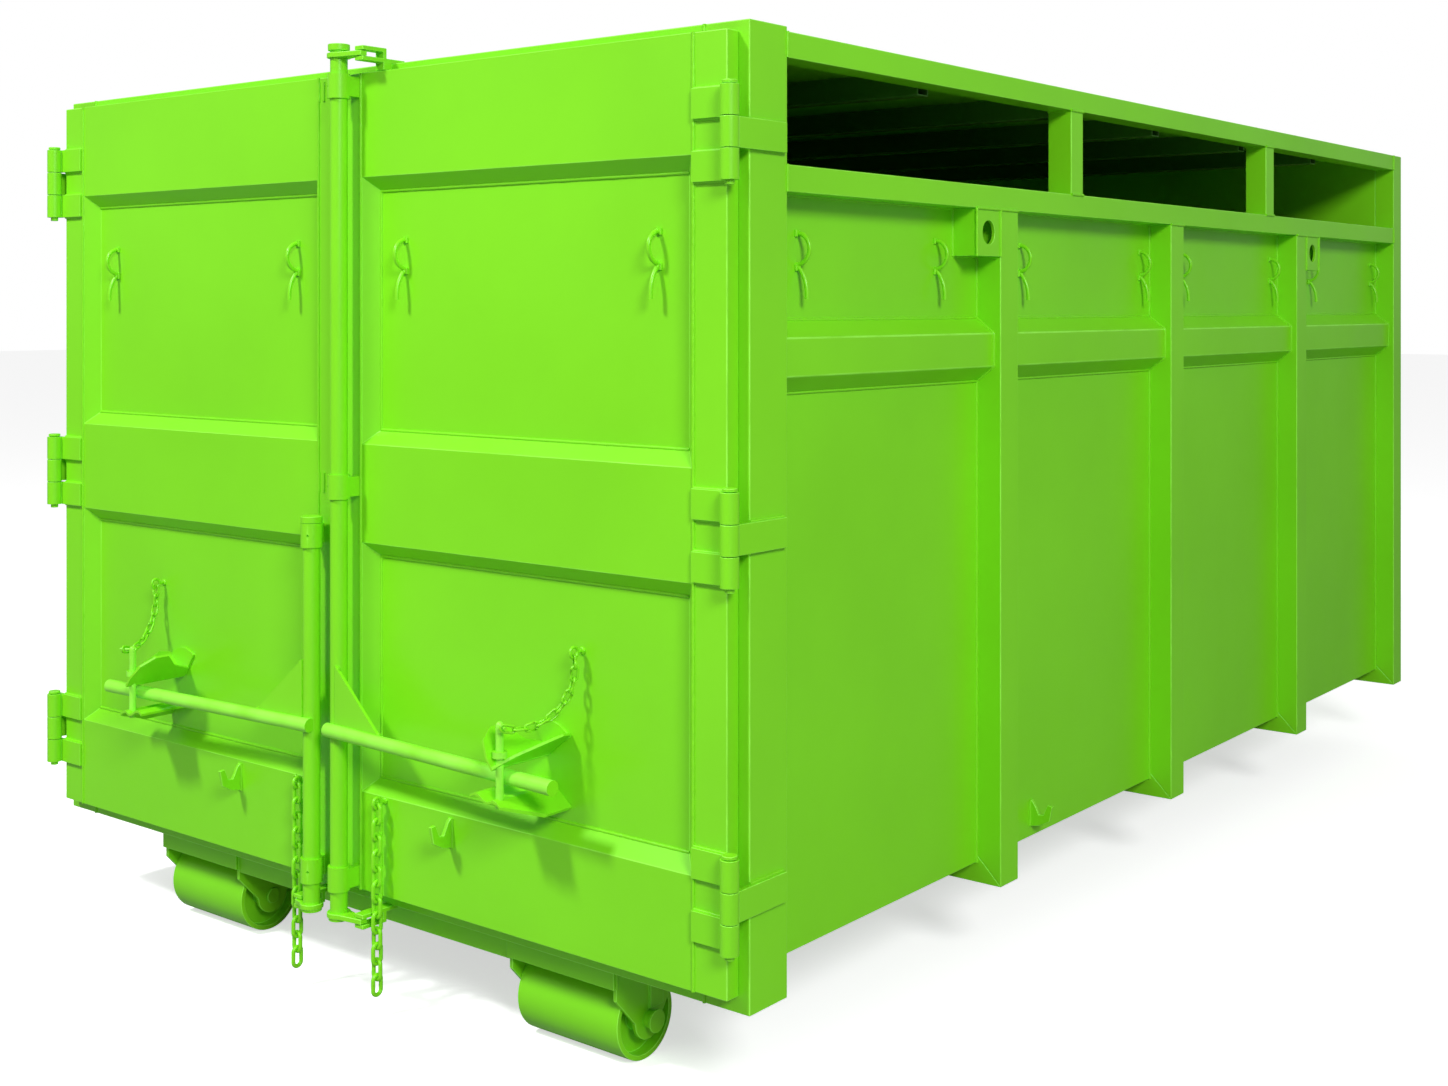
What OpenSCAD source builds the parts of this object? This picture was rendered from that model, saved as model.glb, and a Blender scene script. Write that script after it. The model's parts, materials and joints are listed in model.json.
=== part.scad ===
// Closed hook-lift (roll-off) container with side windows, double rear doors,
// lock bars, safety pins, tarp hooks and rear rollers.
// Millimetres. +Z up, the doors face -Y, the windows face +X.
// The origin is on the ground under the middle of the body.

/* [Body] */
// Overall width across the side ribs
body_w = 2500; // [2300:10:2550]
// Length from the rear frame face to the front end wall
body_l = 4180; // [3900:10:4600]
// Height of the corner posts
body_h = 2057; // [1950:1:2300]
// Ground clearance under the corner posts
ground_gap = 245; // [235:1:260]
// Depth of the side ribs and rails in front of the wall sheet
rib_d = 70; // [60:1:80]
// Width of one side rib
rib_w = 90; // [70:1:110]
// Thickness of wall, floor and roof sheets
sheet_t = 5; // [3:0.5:8]
// Wall thickness of pressed and tubular sections
section_t = 5; // [4:0.5:8]
// Depth of the rear corner posts along the body
post_l = 131; // [110:1:150]
// Width of the rear corner posts across the body
post_w = 120; // [100:1:140]

/* [Side wall] */
// Height of the wall sheet's lower edge above the post bottoms
wall_z = 50; // [30:1:60]
// Height of the side windows
window_h = 226; // [180:1:280]
// Height of the window sill rail section
sill_rail_h = 58; // [45:1:70]
// Height of the top rail section
top_rail_h = 56; // [45:1:70]
// Depth of the pressed band on the wall
band_d = 50; // [35:1:58]
// Height of the pressed band at the wall
band_h = 160; // [130:1:180]
// Height of the pressed band's flat face
band_face_h = 84; // [60:1:100]
// Distance from the window sill rail down to the pressed band's middle
band_drop = 353; // [310:1:450]
// Width of one window post
window_post_w = 68; // [50:1:90]
// Size of the square front of a lug box
lug_w = 118; // [100:1:120]
// Diameter of the hole in a lug box
lug_hole_d = 60; // [40:1:70]
// Plate thickness of a lug box
lug_t = 10; // [6:1:14]

/* [Doors] */
// Gap between the two doors
door_gap = 4; // [3.5:0.5:8]
// Thickness of a door in front of the frame
door_t = 40; // [36:1:46]
// Height of the doors' lower edge
door_z0 = 36; // [30:1:44]
// Distance from the post tops down to the doors' upper edge
door_top_gap = 22; // [17:1:50]
// Gap between the door edge and the side of the body
door_edge = 28; // [26:1:34]
// Depth of the recessed panels
recess_d = 34; // [20:1:36]
// Width of the inner stile
inner_stile_w = 78; // [70:1:90]
// Width of the outer stile
outer_stile_w = 89; // [80:1:100]
// Thickness of the door sheet
door_sheet_t = 4; // [3:0.5:6]

/* [Hinges] */
// Diameter of a hinge pin
hinge_pin_d = 20; // [16:1:24]
// Outer diameter of a hinge knuckle
knuckle_d = 40; // [36:1:43]
// Height of one hinge knuckle
knuckle_h = 64; // [50:1:70]
// Distance of the hinge axis in front of the frame
hinge_y = 62; // [62:1:66]
// Thickness of hinge plates and straps
strap_t = 12; // [8:1:13]

/* [Lock bars] */
// Outer diameter of a lock rod
rod_d = 42.4; // [38:0.1:44.5]
// Distance of the rod axis from the body's middle plane
rod_x = 52; // [48:1:56]
// Distance of the rod axis in front of the frame
rod_y = 85; // [80:1:90]
// Wall thickness of a rod sleeve
sleeve_wall = 5.8; // [4:0.1:8]
// Upper end of the short rod
short_rod_top = 927; // [880:1:935]
// Diameter of a handle bar
handle_d = 34; // [30:1:36]
// Reach of a handle bar from its rod axis
handle_l = 782; // [740:1:840]
// Height of the handle bars
handle_z = 432; // [420:1:440]
// Outward slant of the handle bars in degrees
handle_slant = 3; // [2:0.5:3.5]

/* [Catches and pins] */
// Distance of the safety pins from the body's middle plane
catch_x = 692; // [660:1:720]
// Distance of the safety pins in front of the frame
pin_y = 168; // [166:1:172]
// Diameter of a safety pin
safety_pin_d = 18; // [14:1:18]
// Thickness of the catch plates
catch_t = 6; // [4:1:8]

/* [Chains and hooks] */
// Wire diameter of the hanging chains
chain_wire = 10; // [8:0.5:10]
// Inner length of one chain link
chain_pitch = 38; // [36:1:44]
// Links in a hanging chain
chain_links = 12; // [8:1:12]
// Rod diameter of a tarp hook
tarp_rod = 10; // [8:1:12]

/* [Running gear] */
// Diameter of a rear roller
roller_d = 190; // [180:1:195]
// Length of a rear roller
roller_l = 311; // [280:1:320]
// Distance of the roller axis behind the rear frame face
roller_y = 150; // [145:1:160]
// Middle of a roller from the body's middle plane
roller_x = 680; // [670:1:700]
// Diameter of a roller axle
axle_d = 40; // [30:1:45]
// Height of the main rails
rail_h = 180; // [160:1:190]
// Overall width across the two main rails
rail_span = 1060; // [1040:1:1080]
// Height of the hook bar above the ground
hook_bar_z = 1570; // [1200:10:1600]
// Diameter of the hook bar
hook_bar_d = 50; // [45:1:60]
// Distance between the hook cheeks
hook_gap = 360; // [300:10:420]

/* [Fits] */
// Radial clearance of a running fit
fit_gap = 0.08; // [0.05:0.01:0.1]
// Clearance between moving faces
face_gap = 1.5; // [1:0.1:3]

/* [Hidden] */
$fn = 48;
e = 1;
half_w = body_w / 2;
wall_x = half_w - rib_d;
door_x1 = half_w - door_edge;
door_x0 = door_gap / 2;
hinge_x = half_w - 4;
rib_pitch = (body_l - rib_w) / 4;
// Rear edge of each side rib
rib_y = [for (i = [1:3]) i * rib_pitch + 22 - 6 * i];
end_post_y = body_l - rib_w;
floor_z = rib_d;
top_rail_z = body_h - 10 - top_rail_h;
sill_rail_z = top_rail_z - window_h - sill_rail_h;
band_z = sill_rail_z - band_drop;
door_z1 = body_h - door_top_gap;
sleeve_d = rod_d + 2 * sleeve_wall;
roof_z = body_h - 16;
hinge_z = [242, 988, body_h - 238];
recess_y = recess_d - door_t;
// Lower and upper edge of each pressed recess, measured at the door face
recess_z = [[door_z0 + 241, 886], [1127, door_z1 - 255]];
panel_x0 = door_x0 + inner_stile_w;
panel_x1 = door_x1 - outer_stile_w;
cam_r = [92, 54];
cam_t = 12;
keeper_w = 30;
keeper_lip = 10;
disc_d = rod_d + 7.6;
long_sleeves = [40, 994, body_h - 87];
short_sleeves = [40, 868];
sleeve_h = 60;
upper_catch_z = 458;
lower_catch_z = 392;
link_w = 3 * chain_wire + 4;
chain_eye_wire = 9;
chain_eye_r = chain_wire + 2;
window_post_y = [1420, 2795];
tarp_z = sill_rail_z - 117;
chain_x = [170, 132];
chain_y = 66;
chain_z = 268;
axle_z = roller_d / 2 - ground_gap;
cheek_t = 10;
roller_gap = roller_l + 2 * face_gap;
// Distance from the roller axis to the bracket's rear plate
guard_y = roller_d / 2 + 15;
hook_y = 130;
pin_top = upper_catch_z + 92;
pin_arm_d = 6.5;
bottom_cam_z = -keeper_lip - face_gap - cam_t;
top_cam_z = body_h + keeper_lip + face_gap;
// Direction of the pins' cross bars, square to the pin chains
arm_angle = -26;
arm_reach = 26;
eye_x = 95;
eye_z = 700;
eye_reach = 34;
eye_wire = 7;
pin_chain_links = 10;
pin_chain_wire = 6;
pin_chain_sag = 121;
pin_chain_start = [catch_x + arm_reach * cos(arm_angle), -pin_y + arm_reach * sin(arm_angle), pin_top];
pin_chain_end = [catch_x + eye_x, -eye_reach, eye_z - 7];
pin_chain_span = pin_chain_end - pin_chain_start;
pin_chain_run = norm([pin_chain_span[0], pin_chain_span[1]]);
pin_chain_heading = atan2(pin_chain_span[1], pin_chain_span[0]);
pin_chain_tilt = atan2(pin_chain_span[2], pin_chain_run) - pin_chain_sag / 2;
pin_chain_r = norm(pin_chain_span) / 2 / sin(pin_chain_sag / 2);
pin_chain_pitch = 2 * pin_chain_r * sin(pin_chain_sag / pin_chain_links / 2);

// Moves from the rear lower edge of the frame to the ground under the middle.
module placed() {
    translate([0, -body_l / 2, ground_gap]) children();
}

// Draws the children on one side: 1 is right (+X), -1 is left.
module side(s) {
    mirror([s < 0 ? 1 : 0, 0, 0]) children();
}

module both_sides() {
    side(1) children();
    side(-1) children();
}

module box(a, b) {
    translate(a) cube([b[0] - a[0], b[1] - a[1], b[2] - a[2]]);
}

// Rectangular tube outline with square corners.
module tube_outline(w, h, t) {
    difference() {
        square([w, h]);
        translate([t, t]) square([w - 2 * t, h - 2 * t]);
    }
}

// Channel outline, open towards -X, depth d and width w.
module channel_outline(d, w, t) {
    difference() {
        square([d, w]);
        translate([-e, t]) square([d - t + e, w - 2 * t]);
    }
}

// A tube of width w (X) and height h (Z) running along Y from y0 to y1.
module tube_y(x, z, w, h, y0, y1, t) {
    translate([x, y1, z]) rotate([90, 0, 0]) linear_extrude(y1 - y0) tube_outline(w, h, t);
}

// A tube of depth d (Y) and height h (Z) running along X from x0 to x1.
module tube_x(x0, x1, y, z, d, h, t) {
    translate([x0, y, z]) rotate([90, 0, 90]) linear_extrude(x1 - x0) tube_outline(d, h, t);
}

// A round tube or bar standing on z0.
module rod_z(x, y, z0, z1, d, bore = 0) {
    translate([x, y, z0]) difference() {
        cylinder(d = d, h = z1 - z0);
        if (bore > 0) translate([0, 0, -e]) cylinder(d = bore, h = z1 - z0 + 2 * e);
    }
}

/* ---------- underframe ---------- */

module main_rails() color([0.33, 0.66, 0.12]) placed() both_sides() {
    flange = 82;
    start = roller_y + roller_d / 2 + 17;
    translate([rail_span / 2 - flange, body_l - 60, -rail_h]) rotate([90, 0, 0])
        linear_extrude(body_l - 60 - start) difference() {
            square([flange, rail_h]);
            translate([-e, 10]) square([flange / 2 - 4 + e, rail_h - 20]);
            translate([flange / 2 + 4, 10]) square([flange / 2 - 4 + e, rail_h - 20]);
        }
}

// One floor cross-member: a channel open towards the floor with mitred ends.
module cross_member(y) {
    translate([0, y + rib_w, 0]) rotate([90, 0, 0]) linear_extrude(section_t)
        cross_member_web();
    translate([0, y + section_t, 0]) rotate([90, 0, 0]) linear_extrude(section_t)
        cross_member_web();
    translate([0, y + rib_w, 0]) rotate([90, 0, 0]) linear_extrude(rib_w)
        polygon([[-half_w, 0], [half_w, 0], [half_w - section_t, section_t],
            [section_t - half_w, section_t]]);
}

module cross_member_web() {
    half = [[0, 0], [half_w, 0], [wall_x, rib_d], [wall_x, wall_z], [wall_x - sheet_t, wall_z],
        [wall_x - sheet_t, rib_d], [0, rib_d]];
    polygon(half);
    mirror([1, 0]) polygon(half);
}

module cross_members() color([0.33, 0.66, 0.12]) placed() {
    for (y = rib_y) cross_member(y);
    cross_member(end_post_y);
}

module floor_plate() color([0.2, 0.35, 0.1]) placed()
    box([-wall_x + sheet_t, post_l, floor_z], [wall_x - sheet_t, end_post_y, floor_z + sheet_t]);

module rear_sill() color([0.45, 0.8, 0.16]) placed()
    tube_x(post_w - half_w, half_w - post_w, 0, 0, post_l, floor_z, section_t);

module roller_cross_beam() color([0.33, 0.66, 0.12]) placed() {
    inner = roller_x - roller_gap / 2 - cheek_t;
    tube_x(-inner, inner, 40, -60, 70, 60, section_t);
}

module front_feet() color([0.33, 0.66, 0.12]) placed() both_sides() {
    box([rail_span / 2, body_l - 340, -ground_gap], [rail_span / 2 + 70, body_l - 100, 0]);
}

/* ---------- walls ---------- */

module side_sheet(z1) {
    box([wall_x - sheet_t, post_l, wall_z], [wall_x, end_post_y, z1]);
}

module right_side_wall() color([0.4, 0.74, 0.15]) placed() side_sheet(sill_rail_z + 40);

module left_side_wall() color([0.4, 0.74, 0.15]) placed() side(-1) side_sheet(roof_z - sheet_t);

// Outline of the pressed band in X (depth) and Z (height).
module band_outline(h, face, d) {
    polygon([[0, -h / 2], [d, -face / 2], [d, face / 2], [0, h / 2]]);
}

module bands() {
    starts = concat([post_l], [for (y = rib_y) y + rib_w]);
    ends = concat(rib_y, [end_post_y]);
    t = section_t;
    for (i = [0:3]) translate([wall_x, ends[i], band_z]) rotate([90, 0, 0])
        linear_extrude(ends[i] - starts[i]) difference() {
            band_outline(band_h, band_face_h, band_d);
            translate([-0.01, 0]) band_outline(band_h - 3 * t, band_face_h - t, band_d - t);
        }
}

module right_side_bands() color([0.4, 0.74, 0.15]) placed() bands();

module left_side_bands() color([0.4, 0.74, 0.15]) placed() side(-1) bands();

// One rib: a channel open towards the wall, mitred at its foot.
module rib(y, z1) {
    difference() {
        translate([wall_x, y, 0]) linear_extrude(z1) channel_outline(rib_d, rib_w, section_t);
        translate([wall_x - e, y + rib_w + e, 0]) rotate([90, 0, 0]) linear_extrude(rib_w + 2 * e)
            polygon([[0, -e], [rib_d + 2 * e, -e], [0, rib_d + e]]);
    }
}

module right_side_ribs() color([0.48, 0.87, 0.17]) placed() for (y = rib_y) rib(y, sill_rail_z);

module left_side_ribs() color([0.48, 0.87, 0.17]) placed() side(-1)
    for (y = rib_y) rib(y, top_rail_z);

module rear_corner_posts() color([0.48, 0.87, 0.17]) placed() both_sides()
    translate([half_w - post_w, 0, 0]) linear_extrude(body_h)
        tube_outline(post_w, post_l, section_t);

module front_corner_posts() color([0.48, 0.87, 0.17]) placed() both_sides()
    rib(end_post_y, top_rail_z + top_rail_h);

module rear_header() color([0.48, 0.87, 0.17]) placed()
    tube_x(post_w - half_w, half_w - post_w, 0, body_h - 100, post_l, 100, section_t);

module top_rails() color([0.45, 0.8, 0.16]) placed() both_sides()
    tube_y(wall_x, top_rail_z, rib_d, top_rail_h, post_l, end_post_y, section_t);

module window_sill_rail() color([0.45, 0.8, 0.16]) placed()
    tube_y(wall_x, sill_rail_z, rib_d, sill_rail_h, post_l, end_post_y, section_t);

module window_posts() color([0.45, 0.8, 0.16]) placed() for (y = window_post_y)
    translate([wall_x, y, sill_rail_z + sill_rail_h])
        linear_extrude(top_rail_z - sill_rail_z - sill_rail_h)
            tube_outline(rib_d, window_post_w, section_t);

module roof_sheet() color([0.3, 0.55, 0.12]) placed()
    box([-wall_x, post_l, roof_z - sheet_t], [wall_x, end_post_y, roof_z]);

module roof_bows() color([0.2, 0.35, 0.1]) placed() for (i = [1:5])
    tube_x(sheet_t - wall_x, wall_x - sheet_t, post_l + i * (end_post_y - post_l) / 6 - 25,
        roof_z - sheet_t - 60, 50, 60, 4);

module front_wall() color([0.4, 0.74, 0.15]) placed()
    box([-wall_x, end_post_y, wall_z + 25], [wall_x, end_post_y + sheet_t, roof_z]);

module front_wall_beams() color([0.45, 0.8, 0.16]) placed() {
    y0 = end_post_y + sheet_t;
    d = rib_w - sheet_t;
    for (z = [floor_z + 6, 700, 1250, roof_z - 60])
        tube_x(-wall_x, wall_x, y0, z, d, 60, section_t);
}

/* ---------- hook frame ---------- */

module hook_cheeks() color([0.45, 0.8, 0.16]) placed() both_sides() {
    bar_z = hook_bar_z - ground_gap;
    difference() {
        translate([hook_gap / 2, body_l, 0]) rotate([90, 0, 90]) linear_extrude(15)
            polygon([[0, 0], [60, 0], [190, bar_z - 260], [190, bar_z + 70],
                [130, bar_z + 120], [0, bar_z + 120]]);
        translate([0, body_l + hook_y, bar_z]) rotate([0, 90, 0])
            cylinder(d = hook_bar_d + 2 * fit_gap, h = half_w);
    }
    box([hook_gap / 2 + 15, body_l, 0], [hook_gap / 2 + 75, body_l + 8, bar_z + 120]);
}

module hook_bar() color([0.45, 0.8, 0.16]) placed()
    translate([-hook_gap / 2 - 30, body_l + hook_y, hook_bar_z - ground_gap])
        rotate([0, 90, 0]) cylinder(d = hook_bar_d, h = hook_gap + 60);

/* ---------- rollers ---------- */

module at_roller() {
    translate([roller_x, roller_y, axle_z]) children();
}

// One roller cheek with a rounded foot around the axle.
module cheek() {
    rotate([90, 0, 90]) linear_extrude(cheek_t) difference() {
        union() {
            circle(r = 46);
            polygon([[-46, 0], [-guard_y, 70], [-guard_y, -axle_z], [roller_d / 2, -axle_z],
                [roller_d / 2, 70], [46, 0]]);
        }
        circle(d = axle_d + 2 * fit_gap);
    }
}

module roller_brackets() color([0.45, 0.8, 0.16]) placed() both_sides() at_roller() {
    translate([roller_gap / 2, 0, 0]) cheek();
    translate([-roller_gap / 2 - cheek_t, 0, 0]) cheek();
    box([-roller_gap / 2 - cheek_t, -guard_y - 10, -axle_z - 52],
        [roller_gap / 2 + cheek_t, -guard_y, -axle_z]);
    box([-roller_gap / 2, -guard_y, -axle_z - 8], [roller_gap / 2, roller_d / 2, -axle_z]);
    box([roller_gap / 2 + cheek_t, 0, 24], [roller_gap / 2 + cheek_t + 6, 44, -axle_z]);
}

module roller_axles() color([0.5, 0.86, 0.2]) placed() both_sides() at_roller()
    rotate([0, 90, 0]) {
        translate([0, 0, -roller_gap / 2 - cheek_t - 6]) cylinder(d = axle_d, h = roller_gap + 46);
        translate([0, 0, roller_gap / 2 + cheek_t + 20]) cylinder(d = axle_d + 12, h = 6);
    }

// A hollow drum with recessed webs and a central bush.
module roller() {
    at_roller() translate([-roller_l / 2, 0, 0]) rotate([0, 90, 0]) {
        difference() {
            cylinder(d = roller_d, h = roller_l, $fn = 96);
            translate([0, 0, -e]) cylinder(d = roller_d - 24, h = roller_l + 2 * e, $fn = 96);
        }
        difference() {
            union() {
                for (z = [30, roller_l - 42]) translate([0, 0, z]) cylinder(d = roller_d - 20, h = 12);
                cylinder(d = axle_d + 24, h = roller_l);
            }
            translate([0, 0, -e]) cylinder(d = axle_d + 2 * fit_gap, h = roller_l + 2 * e);
        }
    }
}

module right_roller() color([0.45, 0.8, 0.16]) placed() roller();

module left_roller() color([0.45, 0.8, 0.16]) placed() side(-1) roller();

/* ---------- hinges ---------- */

// Height of the lower edge of knuckle k (0 lower, 1 middle, 2 upper).
function knuckle_z(z, k) = z - 1.5 * knuckle_h - face_gap + k * (knuckle_h + face_gap);

module knuckle(z, k, strap) {
    difference() {
        translate([0, 0, knuckle_z(z, k)]) union() {
            translate([hinge_x, -hinge_y, 0]) cylinder(d = knuckle_d, h = knuckle_h);
            if (strap) box([half_w, -hinge_y, 0], [half_w + strap_t, post_l - 16, knuckle_h]);
            else box([panel_x1 + 1, -door_t - strap_t + 2, 0], [hinge_x, -door_t, knuckle_h]);
        }
        rod_z(hinge_x, -hinge_y, knuckle_z(z, k) - e, knuckle_z(z, k) + knuckle_h + e,
            hinge_pin_d + 2 * fit_gap);
    }
}

module post_hinge_straps() color([0.48, 0.87, 0.17]) placed() both_sides()
    for (z = hinge_z) knuckle(z, 1, true);

module hinge_leaves() {
    for (z = hinge_z, k = [0, 2]) knuckle(z, k, false);
}

module right_hinge_leaves() color([0.5, 0.9, 0.18]) placed() hinge_leaves();

module left_hinge_leaves() color([0.5, 0.9, 0.18]) placed() side(-1) hinge_leaves();

module hinge_pins() color([0.5, 0.9, 0.18]) placed() both_sides() for (z = hinge_z) {
    top = knuckle_z(z, 2) + knuckle_h + face_gap;
    rod_z(hinge_x, -hinge_y, knuckle_z(z, 0) - 10, top, hinge_pin_d);
    rod_z(hinge_x, -hinge_y, top, top + 7, knuckle_d - 8);
}

/* ---------- doors ---------- */

// The sloped recess between z0 and z1: both outlines narrow at 45 degrees.
module recess(z0, z1, d) {
    w0 = panel_x0 + 4;
    w1 = panel_x1 - 4;
    intersection() {
        translate([0, 0, z0 - e]) linear_extrude(z1 - z0 + 2 * e) polygon([
            [w0 - e, -door_t - e], [w1 + e, -door_t - e], [w1 - d, d - door_t], [w0 + d, d - door_t]]);
        translate([w0 - e, 0, 0]) rotate([90, 0, 90]) linear_extrude(w1 - w0 + 2 * e) polygon([
            [-door_t - e, z0 - e], [-door_t - e, z1 + e], [d - door_t, z1 - d], [d - door_t, z0 + d]]);
    }
}

// A pressed door face: the sheet follows the recesses and is open behind.
module door_panel() {
    t = door_sheet_t;
    difference() {
        box([panel_x0, -door_t, door_z0], [panel_x1, recess_y + t, door_z1]);
        for (r = recess_z) recess(r[0], r[1], recess_d);
        difference() {
            box([panel_x0 + t, t - door_t, door_z0 + t], [panel_x1 - t, e, door_z1 - t]);
            for (r = recess_z) translate([0, t, 0]) recess(r[0] - t, r[1] + t, recess_d);
            for (r = recess_z) box([panel_x0 - e, recess_y, r[0] + recess_d - t],
                [panel_x1 + e, 2 * e, r[1] - recess_d + t]);
        }
    }
}

module right_door_panel() color([0.51, 0.88, 0.18]) placed() door_panel();

module left_door_panel() color([0.51, 0.88, 0.18]) placed() side(-1) door_panel();

module stile(x0, x1) {
    translate([x0, -door_t, door_z0]) linear_extrude(door_z1 - door_z0)
        tube_outline(x1 - x0, door_t - face_gap, section_t);
}

module door_stiles() {
    stile(door_x0, panel_x0);
    stile(panel_x1, door_x1);
}

module right_door_stiles() color([0.51, 0.88, 0.18]) placed() door_stiles();

module left_door_stiles() color([0.51, 0.88, 0.18]) placed() side(-1) door_stiles();

/* ---------- lock bars ---------- */

// A rod sleeve with the block that joins it to the door.
module sleeve(z) {
    difference() {
        translate([0, 0, z]) union() {
            translate([rod_x, -rod_y, 0]) cylinder(d = sleeve_d, h = sleeve_h);
            box([rod_x + 8, -rod_y, 6], [rod_x + sleeve_d / 2 - 1, -door_t, sleeve_h - 6]);
        }
        rod_z(rod_x, -rod_y, z - e, z + sleeve_h + e, rod_d + 2 * fit_gap);
        translate([rod_x, -rod_y, z + sleeve_h / 2]) rotate([90, 0, -30])
            cylinder(d = 6, h = sleeve_d);
    }
}

module right_rod_sleeves() color([0.5, 0.86, 0.2]) placed() for (z = long_sleeves) sleeve(z);

module left_rod_sleeves() color([0.5, 0.86, 0.2]) placed() side(-1)
    for (z = short_sleeves) sleeve(z);

// A flat cam around the rod with one arm that enters a keeper.
module cam(z, r) {
    translate([rod_x, -rod_y, z]) difference() {
        union() {
            cylinder(d = disc_d + 8, h = cam_t);
            linear_extrude(cam_t) polygon([[0, -disc_d / 2], [r, -10], [r, 10], [0, disc_d / 2]]);
        }
        translate([0, 0, -e]) cylinder(d = rod_d + 2 * fit_gap, h = cam_t + 2 * e);
    }
}

module lock_rod(top, r) {
    foot = bottom_cam_z - fit_gap;
    rod_z(rod_x, -rod_y, foot, top, rod_d, rod_d - 8);
    cam(bottom_cam_z, r);
    rod_z(rod_x, -rod_y, foot - 8, foot, disc_d);
    rod_z(rod_x, -rod_y, top, top + 16, disc_d + 3);
}

module right_lock_rod() color([0.5, 0.86, 0.2]) placed() {
    lock_rod(top_cam_z + 18, cam_r[0]);
    cam(top_cam_z, cam_r[0]);
}

module left_lock_rod() color([0.5, 0.86, 0.2]) placed() side(-1)
    lock_rod(short_rod_top + face_gap, cam_r[1]);

// A keeper: two lips around the tip of a cam and a back plate, open to the front.
module keeper(r, z, up) {
    x0 = rod_x + r - 24;
    x1 = x0 + keeper_w;
    z0 = z - face_gap;
    z1 = z + cam_t + face_gap;
    box([x0, -rod_y - 8, z0 - keeper_lip], [x1, up ? 40 : -18, z0]);
    box([x0, -rod_y - 8, z1], [x1, up ? -18 : 40, z1 + keeper_lip]);
    box([x0, -28, z0 - e], [x1, -18, z1 + e]);
    if (up) box([x0, -28, body_h - 18], [x1, 0, body_h]);
}

module lock_keepers() color([0.48, 0.87, 0.17]) placed() {
    keeper(cam_r[0], top_cam_z, true);
    keeper(cam_r[0], bottom_cam_z, false);
    side(-1) keeper(cam_r[1], bottom_cam_z, false);
}

// A handle bar in front of its rod with a triangular gusset above it.
module handle() {
    translate([rod_x, -rod_y, handle_z]) rotate([0, 0, -handle_slant]) difference() {
        union() {
            translate([-18, -22, 0]) rotate([0, 90, 0]) cylinder(d = handle_d, h = handle_l + 18);
            translate([0, -14, 0]) rotate([90, 0, 0]) linear_extrude(8)
                polygon([[12, 0], [178, 0], [178, handle_d / 2], [12, 160]]);
        }
        translate([0, 0, -handle_z]) rotate([0, 0, handle_slant])
            cylinder(d = rod_d, h = 2 * handle_z);
    }
}

module right_handle() color([0.5, 0.86, 0.2]) placed() handle();

module left_handle() color([0.5, 0.86, 0.2]) placed() side(-1) handle();

/* ---------- handle catches and safety pins ---------- */

// One folded wing: a plate in plan, turned about its fold line along Y.
module wing(angle, points) {
    translate([catch_x, 0, upper_catch_z]) rotate([0, -angle, 0]) linear_extrude(catch_t)
        polygon(points);
}

module upper_catch() {
    wing(38, [[-1, recess_y - 4], [82, recess_y - 4], [90, -40], [40, -150], [0, -190], [-1, -190]]);
    wing(128, [[-1, recess_y - 4], [30, -8], [50, -60], [96, -100], [96, -140], [70, -176],
        [30, -190], [-1, -190]]);
    translate([catch_x, recess_y, upper_catch_z]) rotate([90, 0, 0]) linear_extrude(catch_t)
        intersection() {
            circle(r = 74);
            polygon([[-6, 0], [70, 52], [40, 90], [-48, 62]]);
        }
}

// Wavy outline of the lower plate in X and Z: a curl on the left, a slope on the right.
function lip_z(u) = u < 0 ? 7 * sin(u * 5) : -u * 0.72;

module lower_catch() {
    xs = [for (i = [-18:0]) i * 4];
    top = concat([for (u = xs) [u, lip_z(u)]], [[14, -5], [62, -44]]);
    low = [for (i = [len(top) - 1:-1:0]) [top[i][0] - (i == len(top) - 1 ? 3 : 0), top[i][1] - catch_t]];
    intersection() {
        translate([catch_x, recess_y, lower_catch_z]) rotate([90, 0, 0]) linear_extrude(190)
            polygon(concat(top, low));
        translate([catch_x, 0, 0]) linear_extrude(body_h)
            polygon([[-80, recess_y], [80, recess_y], [70, -60], [22, -190], [-80, -190]]);
    }
}

module pin_hole() {
    rod_z(catch_x, -pin_y, 0, body_h, safety_pin_d + 2 * fit_gap);
}

module catch_plates() {
    difference() {
        upper_catch();
        pin_hole();
        box([catch_x - 200, recess_y, 0], [catch_x + 200, 100, body_h]);
    }
    difference() {
        lower_catch();
        pin_hole();
    }
}

module right_catch_plates() color([0.45, 0.8, 0.16]) placed() catch_plates();

module left_catch_plates() color([0.45, 0.8, 0.16]) placed() side(-1) catch_plates();

// A safety pin with a collar, a rounded tip and a cross bar.
module safety_pin() {
    rod_z(catch_x, -pin_y, lower_catch_z - 22, pin_top, safety_pin_d);
    rod_z(catch_x, -pin_y, upper_catch_z + 22, upper_catch_z + 36, safety_pin_d + 14);
    translate([catch_x, -pin_y, pin_top]) {
        sphere(d = safety_pin_d);
        rotate([0, 90, arm_angle]) translate([0, 0, -12]) cylinder(d = pin_arm_d, h = arm_reach + 22);
    }
}

module right_safety_pin() color([0.5, 0.9, 0.18]) placed() safety_pin();

module left_safety_pin() color([0.5, 0.9, 0.18]) placed() side(-1) safety_pin();

/* ---------- chains ---------- */

// One link standing in the XZ plane with its length along Z.
module link(wire, inner, width) {
    r = (width - wire) / 2;
    straight = inner + wire - 2 * r;
    for (s = [1, -1]) {
        translate([s * r, 0, -straight / 2]) cylinder(d = wire, h = straight, $fn = 24);
        translate([0, 0, s * straight / 2]) rotate([s * 90, 0, 0])
            rotate_extrude(angle = 180, $fn = 24) translate([r, 0]) circle(d = wire, $fn = 24);
    }
}

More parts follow.
